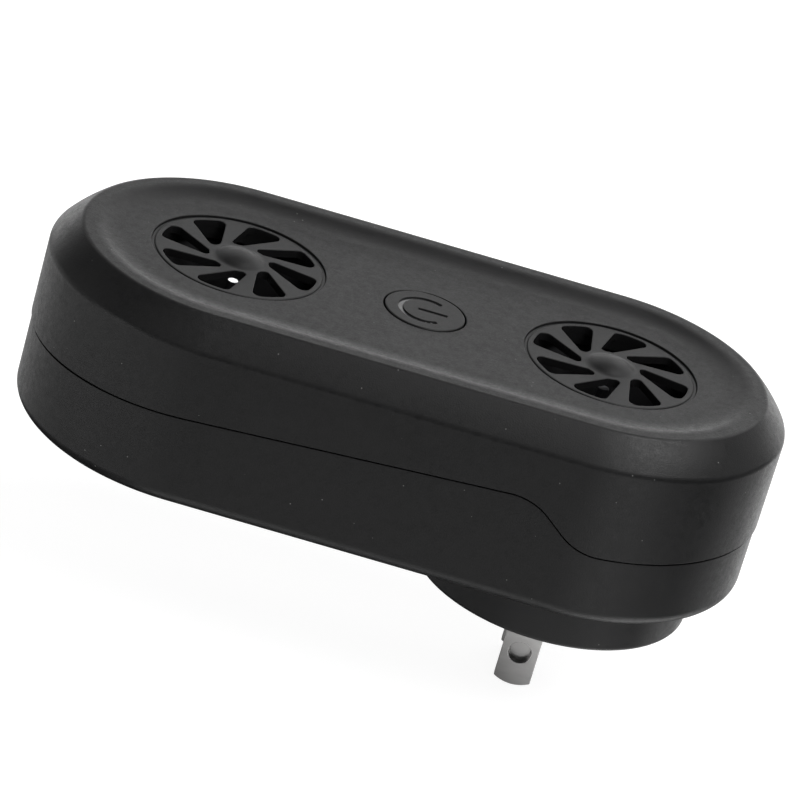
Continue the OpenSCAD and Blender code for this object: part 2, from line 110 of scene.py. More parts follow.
# the seam as seen from the side: a long slope, a step down, then level
def seam_points():
    s = 39.5
    sr, st = math.radians(s), SEAM_TILT
    x0 = MID_X + 21.4
    z0 = 28.4 + (x0 + 10.8) * math.tan(st)
    d1 = (10 * (math.sin(st) + math.sin(sr)), 10 * (math.cos(sr) - math.cos(st)))
    d2 = (11 * math.sin(sr), 11 * (math.cos(sr) - 1))
    run = (z0 + d1[1] + d2[1] - SEAM_LOW) / math.tan(sr)
    c1 = (x0 + 10 * math.sin(st), z0 - 10 * math.cos(st))
    c2 = (x0 + d1[0] + run + d2[0], SEAM_LOW + 11)
    p = [(MID_X - 90, z0 - (x0 - MID_X + 90) * math.tan(st))]
    p += arc(c1[0], c1[1], 10, 90 + 3.7, 90 - s, 24)
    p += arc(c2[0], c2[1], 11, 270 - s, 270, 24)
    return p + [(MID_X + 90, SEAM_LOW)]


SEAM = seam_points()


def seam(x):
    for (xa, za), (xb, zb) in zip(SEAM, SEAM[1:]):
        if x <= xb:
            return za + (zb - za) * (x - xa) / (xb - xa)
    return SEAM_LOW


# ---------------------------------------------------------------- mesh building
class Build:
    """a mesh made from loops of points, in millimetres"""

    def __init__(self):
        self.v, self.f = [], []
        self.groove = range(0)

    def loop(self, pts):
        first = len(self.v)
        self.v.extend(tuple(float(c) for c in p) for p in pts)
        return list(range(first, len(self.v)))

    def bridge(self, a, b):
        n = len(a)
        for i in range(n):
            j = (i + 1) % n
            self.f.append((a[i], a[j], b[j], b[i]))

    def rings(self, loops):
        for a, b in zip(loops, loops[1:]):
            self.bridge(a, b)

    def plate(self, outer, holes=()):
        """fills the flat region inside the outer loop and outside the holes"""
        loops = [outer, *holes]
        idx = [i for l in loops for i in l]
        edges, k = [], 0
        for l in loops:
            edges += [(k + i, k + (i + 1) % len(l)) for i in range(len(l))]
            k += len(l)
        vs, _, fs, ov, _, _ = delaunay_2d_cdt([Vector(self.v[i][:2]) for i in idx], edges, [], 1, 1e-5, True)
        if len(vs) != len(idx):
            raise RuntimeError("the loops of a plate touch each other")
        rim = [self.v[i][:2] for i in outer]
        polys = [[self.v[i][:2] for i in l] for l in holes]
        boxes = [(min(p[0] for p in q), max(p[0] for p in q), min(p[1] for p in q), max(p[1] for p in q)) for q in polys]
        for f in fs:
            x = sum(vs[i].x for i in f) / len(f)
            y = sum(vs[i].y for i in f) / len(f)
            if not inside(x, y, rim) or any(b[0] < x < b[1] and b[2] < y < b[3] and inside(x, y, q) for q, b in zip(polys, boxes)):
                continue
            self.f.append(tuple(idx[ov[i][0]] for i in f))

    def cap(self, loop, apex):
        """closes a round loop with a fan"""
        c = self.loop([apex])[0]
        for i in range(len(loop)):
            self.f.append((loop[i], loop[(i + 1) % len(loop)], c))

    def revolve(self, start, cx, cy, profile, seg, close=False):
        """rings of (radius, height) round an axis that carry on from the start loop; gives the last ring"""
        loops = [start] + [self.loop(circle(cx, cy, r, z, seg)) for r, z in profile]
        self.rings(loops)
        if close:
            self.cap(loops[-1], (cx, cy, profile[-1][1]))
        return loops[-1]

    def turn(self, profile, seg, cx=0.0, cy=0.0):
        """a closed solid of revolution from a profile that starts and ends on the axis"""
        loops = [self.loop(circle(cx, cy, r, z, seg)) for r, z in profile[1:-1]]
        self.rings(loops)
        self.cap(loops[0], (cx, cy, profile[0][1]))
        self.cap(loops[-1], (cx, cy, profile[-1][1]))

    def make(self, name, sharp=32.0, place=None, weighted=True):
        me = bpy.data.meshes.new(name)
        me.from_pydata([(x * MM, y * MM, z * MM) for x, y, z in self.v], [], self.f)
        if place is not None:
            me.transform(place)
        bm = bmesh.new()
        bm.from_mesh(me)
        bmesh.ops.recalc_face_normals(bm, faces=bm.faces)
        bm.to_mesh(me)
        bm.free()
        # faces inside the seam gap take the second slot, which holds the painted-shade material
        for i in self.groove:
            me.polygons[i].material_index = 1
        me.shade_smooth()
        me.set_sharp_from_angle(angle=math.radians(sharp))
        ob = bpy.data.objects.new(name, me)
        bpy.context.scene.collection.objects.link(ob)
        if weighted:
            m = ob.modifiers.new("normals", "WEIGHTED_NORMAL")
            m.keep_sharp = True
            m.weight = 50
        return ob


def inside(x, y, poly):
    hit = False
    j = len(poly) - 1
    for i in range(len(poly)):
        xi, yi = poly[i]
        xj, yj = poly[j]
        if (yi > y) != (yj > y) and x < (xj - xi) * (y - yi) / (yj - yi) + xi:
            hit = not hit
        j = i
    return hit


def circle(cx, cy, r, z, seg):
    return [(cx + r * math.cos(2 * math.pi * i / seg), cy + r * math.sin(2 * math.pi * i / seg), z) for i in range(seg)]


def edge(r, z, f, n, way):
    """a rounded edge of radius f, from the flat at (r + f, z) to the wall at (r, z + way * f)"""
    return [(r + f - f * math.sin(math.pi / 2 * i / n), z + way * (f - f * math.cos(math.pi / 2 * i / n))) for i in range(1, n + 1)]


N_END, N_SIDE = 120, 120


def pill_path():
    """centre on the long axis and outward direction, counter-clockwise"""
    out = []
    for i in range(N_END):
        a = math.radians(-90 + 180 * i / N_END)
        out.append((0.0, math.cos(a), math.sin(a)))
    for i in range(N_SIDE):
        out.append((LEFT_X * i / N_SIDE, 0.0, 1.0))
    for i in range(N_END):
        a = math.radians(90 + 180 * i / N_END)
        out.append((LEFT_X, math.cos(a), math.sin(a)))
    for i in range(N_SIDE):
        out.append((LEFT_X * (1 - i / N_SIDE), 0.0, -1.0))
    return out


PATH = pill_path()


def ends(x):
    """0 along the straight sides, 1 at the two tips of the case"""
    t = max(0.0, min(1.0, (max(x, LEFT_X - x) - 8) / 16))
    return t * t * (3 - 2 * t)


def pill(r, z=None, h=None, wider=0.0):
    """a pill-shaped loop of radius r at height z, or at height h above the seam, and wider above it at the tips"""
    if z is not None:
        return [(c + r * nx, r * ny, z) for c, nx, ny in PATH]
    return [(c + r * nx, r * ny, seam(c + r * nx) + h + wider * ends(c + r * nx)) for c, nx, ny in PATH]


def dish(r):
    k = 2 * RIM_H / (DISH_2 - DISH_0)
    if r < DISH_1:
        return FACE_Z + k * (r - DISH_0) ** 2 / (2 * (DISH_1 - DISH_0))
    return RIM_Z - k * (DISH_2 - r) ** 2 / (2 * (DISH_2 - DISH_1))


# ---------------------------------------------------------------- front shell
def front_shell():
    b = Build()
    bev = math.atan(BEVEL_H / BEVEL_W)
    rim_c = 1.2 * math.tan(bev / 2)
    n0 = b.loop(pill(DISH_0, FACE_Z))
    loops = [n0]
    for i in range(1, 25):
        r = DISH_0 + (DISH_2 - DISH_0) * i / 24
        loops.append(b.loop(pill(r, dish(r))))
    # the bevel is a shallow arc between a rounded rim and a rounded lower edge
    t1, t2, top_r, low_r = bev - BULGE, bev + BULGE, 1.2, 1.8
    x = RIM_W - rim_c
    big = (RW - x - top_r * math.sin(t1) - low_r * (1 - math.sin(t2))) / (math.sin(t2) - math.sin(t1))
    z = RIM_Z
    for r, u1, u2, n in ((top_r, 0.0, t1, 8), (big, t1, t2, 8), (low_r, t2, math.pi / 2, 8)):
        for i in range(0 if r == top_r else 1, n + 1):
            u = u1 + (u2 - u1) * i / n
            loops.append(b.loop(pill(x + r * (math.sin(u) - math.sin(u1)), z - r * (math.cos(u1) - math.cos(u)))))
        x, z = x + r * (math.sin(u2) - math.sin(u1)), z - r * (math.cos(u1) - math.cos(u2))
    lower = [(x, z)]
    f = 0.07
    top_z = lower[-1][1]
    for t in (0.2, 0.4, 0.6, 0.8):
        loops.append(b.loop([(x, y, top_z + (z - top_z) * t) for x, y, z in pill(RW, h=SEAM_GAP + f, wider=0.14)]))
    for i in range(0, 5):
        a = math.pi / 2 * i / 4
        loops.append(b.loop(pill(RW - f + f * math.cos(a), h=SEAM_GAP + f - f * math.sin(a), wider=0.14)))
    lip = len(loops) - 1
    loops.append(b.loop(pill(RW - 1.05, h=SEAM_GAP, wider=0.14)))
    loops.append(b.loop(pill(RW - 1.05, h=2.2)))
    b.groove = range(lip * len(n0), (lip + 2) * len(n0))
    loops.append(b.loop(pill(RW - WALL, h=2.2)))
    in_w = RIM_W + (RIM_H + WALL) / math.tan(bev) - WALL / math.sin(bev)
    in_h = RIM_Z - BEVEL_H - WALL * math.tan((math.pi / 2 - bev) / 2)
    loops.append(b.loop(pill(RW - WALL, in_h)))
    ceiling = b.loop(pill(in_w, CEIL_Z))
    loops.append(ceiling)
    b.rings(loops)

    # the grille and button openings join the face to the ceiling inside
    holes, ceil_holes = [], []
    for cx in (LEFT_X, 0.0):
        start = b.loop(circle(cx, 0, GRILLE_HOLE + 0.16, FACE_Z, 144))
        holes.append(start)
        prof = [(GRILLE_HOLE + 0.12, FACE_Z)] + edge(GRILLE_HOLE, FACE_Z, 0.12, 4, -1) + [(GRILLE_HOLE, FACE_Z - 1.5), (GRILLE_HOLE - 0.95, FACE_Z - 1.5),
                (GRILLE_HOLE - 0.95, CEIL_Z - 0.8), (17.2, CEIL_Z - 0.8), (17.2, CEIL_Z)]
        ceil_holes.append(b.revolve(start, cx, 0, prof, 144))
    start = b.loop(circle(MID_X, 0, BUTTON_HOLE + 0.24, FACE_Z, 112))
    holes.append(start)
    prof = [(BUTTON_HOLE + 0.2, FACE_Z)] + edge(BUTTON_HOLE, FACE_Z, 0.2, 5, -1) + [(BUTTON_HOLE, CEIL_Z), (8.35, CEIL_Z), (8.35, CEIL_Z - 3.5),
            (9.7, CEIL_Z - 3.5), (9.7, CEIL_Z)]
    ceil_holes.append(b.revolve(start, MID_X, 0, prof, 112))
    b.plate(n0, holes)

    # screw bosses and speaker posts stand off the ceiling
    for cx, cy in SCREWS:
        start = b.loop(circle(cx, cy, 3.15, CEIL_Z, 40))
        b.revolve(start, cx, cy, [(3.15, 19.05), (1.5, 19.05), (1.5, 34.0)], 40, close=True)
        ceil_holes.append(start)
    for m in (0, 1):
        for px, py in POSTS:
            cx = LEFT_X - px if m else px
            start = b.loop(circle(cx, py, 2.5, CEIL_Z, 32))
            b.revolve(start, cx, py, [(2.5, CEIL_Z - 1.6), (0.95, CEIL_Z - 1.6), (0.95, CEIL_Z + 1.1)], 32, close=True)
            ceil_holes.append(start)
    b.plate(ceiling, ceil_holes)
    return b.make("front_shell_skin")


# ---------------------------------------------------------------- back shell with the boss
def rect(cx, cy, hx, hy, z, d=0.0, r=0.25, n=4):
    """a rectangle with rounded corners, grown outwards by d"""
    out = []
    for sx, sy, a in ((1, 1, 0), (-1, 1, 90), (-1, -1, 180), (1, -1, 270)):
        for x, y in arc(cx + sx * (hx - r), cy + sy * (hy - r), r + d, a, a + 90, n):
            out.append((x, y, z))
    return out


def back_shell():
    b = Build()
    f = 0.06
    back = b.loop(pill(RWB - BACK_R, BACK_Z))
    loops = [back]
    for r, z in arc(RWB - BACK_R, BACK_Z + BACK_R, BACK_R, 270, 360, 14)[1:]:
        loops.append(b.loop(pill(r, z)))
    for t in (0.25, 0.5, 0.75):
        loops.append(b.loop([(x, y, BACK_Z + BACK_R + (z - BACK_Z - BACK_R) * t) for x, y, z in pill(RWB, h=-f)]))
    for i in range(0, 4):
        a = math.pi / 2 * i / 3
        loops.append(b.loop(pill(RWB - f + f * math.cos(a), h=-f + f * math.sin(a))))
    lip = len(loops) - 1
    loops.append(b.loop(pill(RW - 1.2, h=0)))
    loops.append(b.loop(pill(RW - 1.2, h=1.9)))
    b.groove = range(lip * len(back), (lip + 2) * len(back))
    loops.append(b.loop(pill(RW - 2.1, h=1.9)))
    loops.append(b.loop(pill(RW - 2.1, h=0)))
    loops.append(b.loop(pill(RWB - WALL, h=0)))
    for r, z in reversed(arc(RWB - WALL - 1.5, FLOOR_Z + 1.5, 1.5, 270, 360, 5)):
        loops.append(b.loop(pill(r, z)))
    floor = loops[-1]
    b.rings(loops)

    # the boss, down to the plug face
    rf = 0.35
    root = b.loop(circle(BOSS_X, 0, BOSS_R + 0.5 + rf, BACK_Z, 192))
    prof = [(BOSS_R + 0.5 + rf - rf * math.sin(math.pi / 2 * i / 4), BACK_Z - rf + rf * math.cos(math.pi / 2 * i / 4)) for i in range(1, 5)]
    prof += list(reversed(arc(BOSS_R - 0.8, 0.8, 0.8, 270, 360, 7)))
    face = b.revolve(root, BOSS_X, 0, prof, 192)
    inner = b.loop(circle(0, 0, 19.3, FLOOR_Z, 128))
    boss_floor = b.revolve(inner, 0, 0, [(19.3, WALL)], 128)
    face_holes, boss_holes = [], []
    for s in (-1, 1):
        hx, hy = BLADE_W / 2 + 0.1, BLADE_T / 2 + 0.1
        cy = s * BLADE_Y
        ls = [b.loop(rect(BLADE_X, cy, hx, hy, z, d)) for z, d in ((0, 0.2), (0.03, 0.08), (0.1, 0.02), (0.2, 0), (WALL, 0))]
        b.rings(ls)
        face_holes.append(ls[0])
        boss_holes.append(ls[-1])
        cx = BLADE_X + s * 11
        post = b.loop(circle(cx, 0, 3, WALL, 40))
        b.revolve(post, cx, 0, [(3, 5.2), (0.95, 5.2), (0.95, 1.0)], 40, close=True)
        boss_holes.append(post)
    b.plate(face, face_holes)
    b.plate(boss_floor, boss_holes)

    # recesses for the case screws, from the back to the bosses inside
    back_holes, floor_holes = [root], [inner]
    for cx, cy in SCREWS:
        start = b.loop(circle(cx, cy, 3.1 + 0.3, BACK_Z, 56))
        prof = edge(3.1, BACK_Z, 0.3, 4, 1) + [(3.1, 15.0), (1.6, 15.0), (1.6, 19.0), (3.9, 19.0), (3.9, FLOOR_Z)]
        back_holes.append(start)
        floor_holes.append(b.revolve(start, cx, cy, prof, 56))
    for cx, cy in STANDS:
        start = b.loop(circle(cx, cy, 2.8, FLOOR_Z, 40))
        b.revolve(start, cx, cy, [(2.8, 20.4), (0.95, 20.4), (0.95, 13.0)], 40, close=True)
        floor_holes.append(start)
    b.plate(back, back_holes)
    b.plate(floor, floor_holes)
    return b.make("back_shell_skin")


# ---------------------------------------------------------------- grilles
def slot_outline():
    """points and outward normals of one slot: a narrow tip at the hub, an arc at the rim, rounded corners"""
    corner, reach, low, high, tip = 1.2, 13.42, -19.2, -3.45, 0.8
    def at(a):
        return ((reach - corner) * math.cos(math.radians(a)), (reach - corner) * math.sin(math.radians(a)))
    side_b = math.degrees(math.atan2(at(high)[0] - 5.8, -(at(high)[1] - 1.2)))
    side_a = math.degrees(math.atan2(-(at(low)[0] - 5.95), at(low)[1] - 0.55))
    pts = []
    for c, r, a0, a1, n in ((at(low), corner, side_a, low, 10), ((0.0, 0.0), reach, low, high, 6), (at(high), corner, high, side_b, 10),
                            ((5.8, 1.2), tip, side_b, 193.0, 8), ((5.95, 0.55), tip, 193.0, side_a + 360, 6)):
        for i in range(n + 1):
            if pts and i == 0:
                continue
            t = math.radians(a0 + (a1 - a0) * i / n)
            pts.append((c[0] + r * math.cos(t), c[1] + r * math.sin(t), math.cos(t), math.sin(t)))
    return pts


SLOT = slot_outline()


def slot_loop(k, grow, z, cx):
    c, s = math.cos(math.radians(45 * k)), math.sin(math.radians(45 * k))
    pts = [(x + grow * nx, y + grow * ny) for x, y, nx, ny in SLOT]
    return [(cx + x * c - y * s, x * s + y * c, z) for x, y in pts]


HUB_R, HUB_H, HUB_FOOT = 4.15, 1.1, 2.6
DISC_SINK, DISC_R, GROOVE = 0.12, 14.4, 0.35


def grille(cx, name):
    b = Build()
    top, low, floor = FACE_Z - DISC_SINK, FACE_Z - 1.5, FACE_Z - GROOVE
    f, g = 0.34, 0.18
    flat = b.loop(circle(cx, 0, DISC_R - f - 0.04, top, 144))
    rim = [(DISC_R - f + f * math.sin(math.pi / 2 * i / 6), top - g + g * math.cos(math.pi / 2 * i / 6)) for i in range(0, 7)]
    rim += [(DISC_R, floor + 0.04), (DISC_R + 0.04, floor), (GRILLE_R - 0.03, floor), (GRILLE_R, floor - 0.03), (GRILLE_R, low)]
    under = b.revolve(flat, cx, 0, rim, 144)
    hooks = []
    for i in range(144):
        a = (360 * i / 144 - 22.5) % 90
        hooks.append(0.45 if 0 <= a <= 18 else 0.0)

    def ring(r, z, extra=0.0):
        return b.loop([(cx + (r + extra * h / 0.45) * math.cos(2 * math.pi * i / 144), (r + extra * h / 0.45) * math.sin(2 * math.pi * i / 144), z)
                       for i, h in enumerate(hooks)])

    b.rings([under, ring(13.95, low), ring(13.95, CEIL_Z - 0.86), ring(13.95, CEIL_Z - 0.9, 0.45), ring(13.95, CEIL_Z - 1.35, 0.05),
             ring(13.5, CEIL_Z - 1.35), ring(13.5, low)])
    collar = list(range(len(b.v) - 144, len(b.v)))
    tops, lows = [], []
    for k in range(8):
        f, grow = 0.16, 0.06
        ls = [b.loop(slot_loop(k, grow + f + 0.03, top, cx))]
        for i in range(0, 6):
            a = math.pi / 2 * i / 5
            ls.append(b.loop(slot_loop(k, grow + f - f * math.sin(a), top - f + f * math.cos(a), cx)))
        ls.append(b.loop(slot_loop(k, grow, (top + low) / 2, cx)))
        ls.append(b.loop(slot_loop(k, grow, low, cx)))
        b.rings(ls)
        tops.append(ls[0])
        lows.append(ls[-1])
    # the domed hub, with a soft fillet at its foot
    ball = (HUB_R ** 2 + HUB_H ** 2) / (2 * HUB_H)
    foot_r = math.sqrt((ball + HUB_FOOT) ** 2 - (ball + HUB_FOOT - HUB_H) ** 2)
    tilt = math.asin(foot_r / (ball + HUB_FOOT))
    hub = b.loop(circle(cx, 0, foot_r + 0.04, top, 72))
    prof = [(foot_r - HUB_FOOT * math.sin(tilt * i / 6), top + HUB_FOOT - HUB_FOOT * math.cos(tilt * i / 6)) for i in range(0, 7)]
    prof += [(ball * math.sin(tilt * i / 14), top + HUB_H - ball + ball * math.cos(tilt * i / 14)) for i in range(13, 0, -1)]
    last = b.revolve(hub, cx, 0, prof, 72)
    b.cap(last, (cx, 0, top + HUB_H))
    b.plate(flat, tops + [hub])
    b.plate(collar, lows)
    return b.make(name)


# ---------------------------------------------------------------- power button
def stroke_arc(r, half, a, b, grow, z, cx, n=40, m=6):
    """outline of an arc-shaped groove with rounded corners"""
    h = half + grow
    e = math.degrees(grow / r)
    a, b = a - e, b + e
    k = max(0.015, 0.3 + grow)
    out = []
    ka = math.degrees(k / r)
    for i in range(n + 1):
        t = math.radians(a + ka + (b - a - 2 * ka) * i / n)
        out.append((cx + (r + h) * math.cos(t), (r + h) * math.sin(t), z))
    for t, sign in ((b, 1), (a, -1)):
        ct, st = math.cos(math.radians(t - sign * ka)), math.sin(math.radians(t - sign * ka))
        tx, ty = -st * sign, ct * sign
        for (rr, s0, s1) in ((r + h - k, 0, 90), (r - h + k, 90, 180)):
            if sign < 0:
                rr = (r - h + k) if s0 == 0 else (r + h - k)
            for i in range(1, m):
                u = math.radians(s0 + (s1 - s0) * i / m)
                cr = math.cos(u) * (1 if sign > 0 else -1)
                px, py = rr * ct, rr * st
                out.append((cx + px + k * (cr * ct + math.sin(u) * tx), py + k * (cr * st + math.sin(u) * ty), z))
        if sign > 0:
            for i in range(n + 1):
                v = math.radians(b - ka - (b - a - 2 * ka) * i / n)
                out.append((cx + (r - h) * math.cos(v), (r - h) * math.sin(v), z))
    return out


MARK_DEEP = 0.3
CAP_TOP = FACE_Z + 0.1
MARKS = (("arc", 0.43), ("bar", 0.38))


def mark_loop(b, kind, half, grow, z):
    if kind == "arc":
        return b.loop(stroke_arc(4.225, half, 55, 305, grow, z, MID_X))
    return b.loop(rect(MID_X + 1.35, 0.0, 2.55, half, z, grow, r=0.22, n=5))


def button():
    b = Build()
    cx, top = MID_X, CAP_TOP
    f = 0.26
    flat = b.loop(circle(cx, 0, BUTTON_R - f - 0.04, top, 112))
    prof = [(BUTTON_R - f + f * math.sin(math.pi / 2 * i / 6), top - f + f * math.cos(math.pi / 2 * i / 6)) for i in range(0, 7)]
    prof += [(BUTTON_R, CEIL_Z - 0.05), (BUTTON_HOLE + 0.8, CEIL_Z - 0.05), (BUTTON_HOLE + 0.8, CEIL_Z - 1.2), (5.65, CEIL_Z - 1.2),
             (5.65, CEIL_Z + 0.8), (1.8, CEIL_Z + 0.8), (1.8, 29.35), (1.5, 29.05)]
    b.revolve(flat, cx, 0, prof, 112, close=True)
    holes = []
    for kind, half in MARKS:
        steps = [(0.1, 0.0)] + [(0.07 - 0.07 * math.sin(math.pi / 2 * i / 4), 0.07 - 0.07 * math.cos(math.pi / 2 * i / 4)) for i in range(5)]
        steps += [(0.0, MARK_DEEP)]
        ls = [mark_loop(b, kind, half, grow, top - down) for grow, down in steps]
        b.rings(ls)
        b.plate(ls[-1])
        holes.append(ls[0])
    b.plate(flat, holes)
    return b.make("power_button_cap")


def mark_floor(kind, half, name):
    """the polished floor of one stroke of the mark"""
    b = Build()
    z = CAP_TOP - MARK_DEEP
    ls = [mark_loop(b, kind, half, grow, z + up) for grow, up in ((-0.005, -0.12), (-0.005, 0.02), (-0.03, 0.03), (-0.07, 0.03))]
    b.rings(ls)
    b.plate(ls[0])
    b.plate(ls[-1])
    return b.make(name)


# ---------------------------------------------------------------- plug blades
def inset(pts, d):
    """a counter-clockwise outline moved inwards by d"""
    out, n = [], len(pts)
    for i in range(n):
        (x0, y0), (x1, y1), (x2, y2) = pts[i - 1], pts[i], pts[(i + 1) % n]
        l1, l2 = math.hypot(x1 - x0, y1 - y0), math.hypot(x2 - x1, y2 - y1)
        n1, n2 = (-(y1 - y0) / l1, (x1 - x0) / l1), (-(y2 - y1) / l2, (x2 - x1) / l2)
        k = 1 + n1[0] * n2[0] + n1[1] * n2[1]
        out.append((x1 + d * (n1[0] + n2[0]) / k, y1 + d * (n1[1] + n2[1]) / k))
    return out


def blade(cy, name, out):
    hw, w2, tip = BLADE_W / 2, 4.8, -BLADE_L
    a = math.degrees(math.asin((hw - 0.2) / 5.8))
    tip_arc = arc(0, tip + 6, 6, 270 - a, 270 + a, 20)
    corner = math.degrees(math.acos((hw - 0.2) / 5.8))
    zc = tip + 6 - 5.8 * math.sin(math.radians(corner))
    line = [(-w2, WALL + 0.05), (-hw, WALL + 0.05)]
    line += arc(-hw + 0.2, zc, 0.2, 180, 270 - a, 5)
    line += tip_arc[1:-1]
    line += arc(hw - 0.2, zc, 0.2, 270 + a, 360, 5)
    line += [(hw, WALL + 0.05), (w2, WALL + 0.05), (w2, WALL + 2.55), (hw, WALL + 2.55), (hw, 13), (-hw, 13), (-hw, WALL + 2.55), (-w2, WALL + 2.55)]
    b = Build()
    t, f = BLADE_T / 2, 0.12
    loops = []
    steps = [(f + 0.03, -t), (f, -t), (f * 0.45, -t + f * 0.12), (f * 0.12, -t + f * 0.45), (0, -t + f)]
    for d, w in steps + [(d, -w) for d, w in reversed(steps)]:
        pts = line if d == 0 else inset(line, d)
        loops.append(b.loop([(x, y, w) for x, y in pts]))
    b.rings(loops)
    # the wire hole at the inner end goes through
    ls, g = [], 0.08
    for d, w in ((g + 0.03, -t), (g, -t), (g * 0.3, -t + g * 0.3), (0, -t + g), (0, t - g), (g * 0.3, t - g * 0.3), (g, t), (g + 0.03, t)):
        ls.append(b.loop([(x, y, w) for x, y, _ in circle(0, 11, 1 + d, 0, 32)]))
    b.rings(ls)
    faces = {-1: (loops[0], ls[0]), 1: (loops[-1], ls[-1])}
    # the round recess in the outer face has a rolled edge and a coined ring round its floor
    ls, g, deep = [], 0.12, BLADE_HOLE_DEEP
    for r, w in ((1.95 + g + 0.03, 0), (1.95 + g, 0), (1.95 + g * 0.3, g * 0.3), (1.95, g), (1.95, deep + 0.1), (1.8, deep + 0.1), (1.74, deep), (1.71, deep)):
        ls.append(b.loop([(x, y, out * (t - w)) for x, y, _ in circle(0, -BLADE_HOLE_Z, r, 0, 64)]))
    b.rings(ls)
    b.plate(ls[-1])
    b.plate(faces[out][0], [ls[0], faces[out][1]])
    b.plate(faces[-out][0], [faces[-out][1]])
    place = Matrix.Translation((BLADE_X * MM, cy * MM, 0)) @ Matrix.Rotation(math.radians(90), 4, "X")
    return b.make(name, place=place)


# ---------------------------------------------------------------- materials
def nodes_of(mat):
    mat.use_nodes = True
    nt = mat.node_tree
    nt.nodes.clear()
    out = nt.nodes.new("ShaderNodeOutputMaterial")
    bsdf = nt.nodes.new("ShaderNodeBsdfPrincipled")
    nt.links.new(bsdf.outputs[0], out.inputs[0])
    return nt, bsdf


def noise(nt, scale, detail=3.0, rough=0.55, vec=None, w=0.0):
    n = nt.nodes.new("ShaderNodeTexNoise")
    n.inputs["Scale"].default_value = scale
    n.inputs["Detail"].default_value = detail
    n.inputs["Roughness"].default_value = rough
    if vec is not None:
        nt.links.new(vec, n.inputs["Vector"])
    return n.outputs["Fac"]


def ramp(nt, fac, stops):
    r = nt.nodes.new("ShaderNodeValToRGB")
    els = r.color_ramp.elements
    while len(els) > 1:
        els.remove(els[-1])
    for i, (pos, col) in enumerate(stops):
        e = els[0] if i == 0 else els.new(pos)
        e.position = pos
        e.color = (*col, 1) if len(col) == 3 else col
    nt.links.new(fac, r.inputs["Fac"])
    return r.outputs["Color"]


def remap(nt, fac, a, b, lo=0.0, hi=1.0):
    m = nt.nodes.new("ShaderNodeMapRange")
    m.inputs["From Min"].default_value = lo
    m.inputs["From Max"].default_value = hi
    m.inputs["To Min"].default_value = a
    m.inputs["To Max"].default_value = b
    nt.links.new(fac, m.inputs["Value"])
    return m.outputs["Result"]


def mathn(nt, op, a, b):
    m = nt.nodes.new("ShaderNodeMath")
    m.operation = op
    for k, v in enumerate((a, b)):
        if isinstance(v, (int, float)):
            m.inputs[k].default_value = v
        else:
            nt.links.new(v, m.inputs[k])
    return m.outputs[0]


def bump(nt, height, strength, distance, normal=None):
    b = nt.nodes.new("ShaderNodeBump")
    b.inputs["Strength"].default_value = strength
    b.inputs["Distance"].default_value = distance
    nt.links.new(height, b.inputs["Height"])
    if normal is not None:
        nt.links.new(normal, b.inputs["Normal"])
    return b.outputs["Normal"]


def object_coords(nt):
    return nt.nodes.new("ShaderNodeTexCoord").outputs["Object"]


def moulded(name, base, rough, grain=0.35, grain_mm=0.22, specular=0.5, dust=0.0, tone=0.12, uneven=0.05, walls=None):
    """moulded plastic with a fine spark-eroded grain, faint mottling, a few specks of dust and, if asked, smoother upright walls"""
    mat = bpy.data.materials.new(name)
    nt, bsdf = nodes_of(mat)
    co = object_coords(nt)
    fine = noise(nt, 1000 / grain_mm, 2.0, 0.55, co)
    coarse = noise(nt, 1000 / (grain_mm * 5), 3.0, 0.55, co)
    cloud = noise(nt, 40, 3.0, 0.5, co)
    lo = tuple(c * (1 - tone) for c in base)
    hi = tuple(min(1, c * (1 + tone)) for c in base)
    mix = mathn(nt, "ADD", mathn(nt, "MULTIPLY", fine, 0.5), mathn(nt, "MULTIPLY", coarse, 0.35))
    mix = mathn(nt, "ADD", mix, mathn(nt, "MULTIPLY", cloud, 0.15))
    col = ramp(nt, mix, [(0.35, lo), (0.65, hi)])
    if dust:
        v = nt.nodes.new("ShaderNodeTexVoronoi")
        v.inputs["Scale"].default_value = 830
        v.inputs["Randomness"].default_value = 1.0
        nt.links.new(co, v.inputs["Vector"])
        red = nt.nodes.new("ShaderNodeSeparateColor")
        nt.links.new(v.outputs["Color"], red.inputs[0])
        pick = mathn(nt, "LESS_THAN", red.outputs[0], dust)
        near = remap(nt, v.outputs["Distance"], 1.0, 0.0, 0.06, 0.1)
        speck = mathn(nt, "MULTIPLY", pick, near)
        m = nt.nodes.new("ShaderNodeMix")
        m.data_type = "RGBA"
        nt.links.new(mathn(nt, "MULTIPLY", speck, 0.5), m.inputs["Factor"])
        nt.links.new(col, m.inputs[6])
        m.inputs[7].default_value = (0.28, 0.28, 0.27, 1)
        col = m.outputs[2]
    nt.links.new(col, bsdf.inputs["Base Color"])
    shine = remap(nt, mix, rough - uneven, rough + uneven, 0.35, 0.65)
    if walls is not None:
        sep = nt.nodes.new("ShaderNodeSeparateXYZ")
        nt.links.new(nt.nodes.new("ShaderNodeNewGeometry").outputs["Normal"], sep.inputs[0])
        upright = remap(nt, mathn(nt, "ABSOLUTE", sep.outputs[2], 0.0), walls - rough, 0.0, 0.2, 0.6)
        shine = mathn(nt, "ADD", shine, upright)
    nt.links.new(shine, bsdf.inputs["Roughness"])
    bsdf.inputs["Specular IOR Level"].default_value = specular
    nt.links.new(bump(nt, fine, grain, grain_mm * MM * 0.3), bsdf.inputs["Normal"])
    return mat


